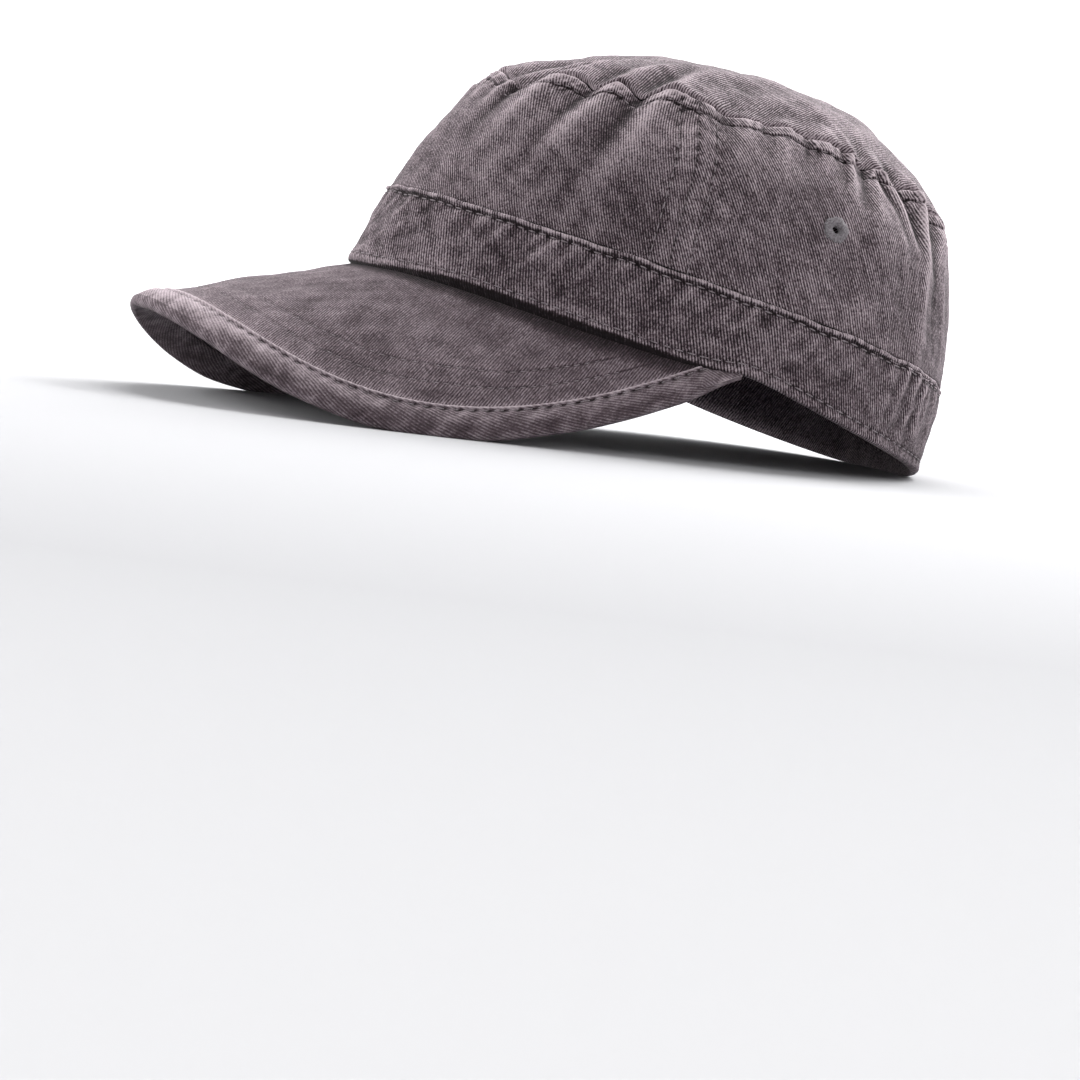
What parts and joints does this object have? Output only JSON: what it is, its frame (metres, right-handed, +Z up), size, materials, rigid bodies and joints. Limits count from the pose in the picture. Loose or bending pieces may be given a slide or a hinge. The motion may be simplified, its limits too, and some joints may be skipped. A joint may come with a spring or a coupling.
{
  "type": "patrol cap",
  "caption": "Soft patrol cap in washed charcoal cotton twill: sewn band, panelled crown with a domed top, and a curved peak with a padded border.",
  "frame": {"origin": "middle of the cap's length and width, on the surface it rests on", "axes": "+Z up, the peak points to -Y, +X is the wearer's left"},
  "size_m": [0.1746, 0.267, 0.1257],
  "materials": {
    "twill": "washed charcoal cotton twill, matt",
    "twill_border": "washed charcoal cotton twill, worn paler along its raised edge, matt",
    "eyelet_thread": "close satin stitching in grey cotton thread, low sheen"
  },
  "bodies": {
    "root": {"crown_top": "twill", "crown_front": "twill", "crown_side_left": "twill", "crown_side_right": "twill", "band": "twill", "peak_top": "twill", "peak_under": "twill", "peak_border": "twill_border", "eyelet_left": "eyelet_thread", "eyelet_right": "eyelet_thread"}
  },
  "joints": []
}
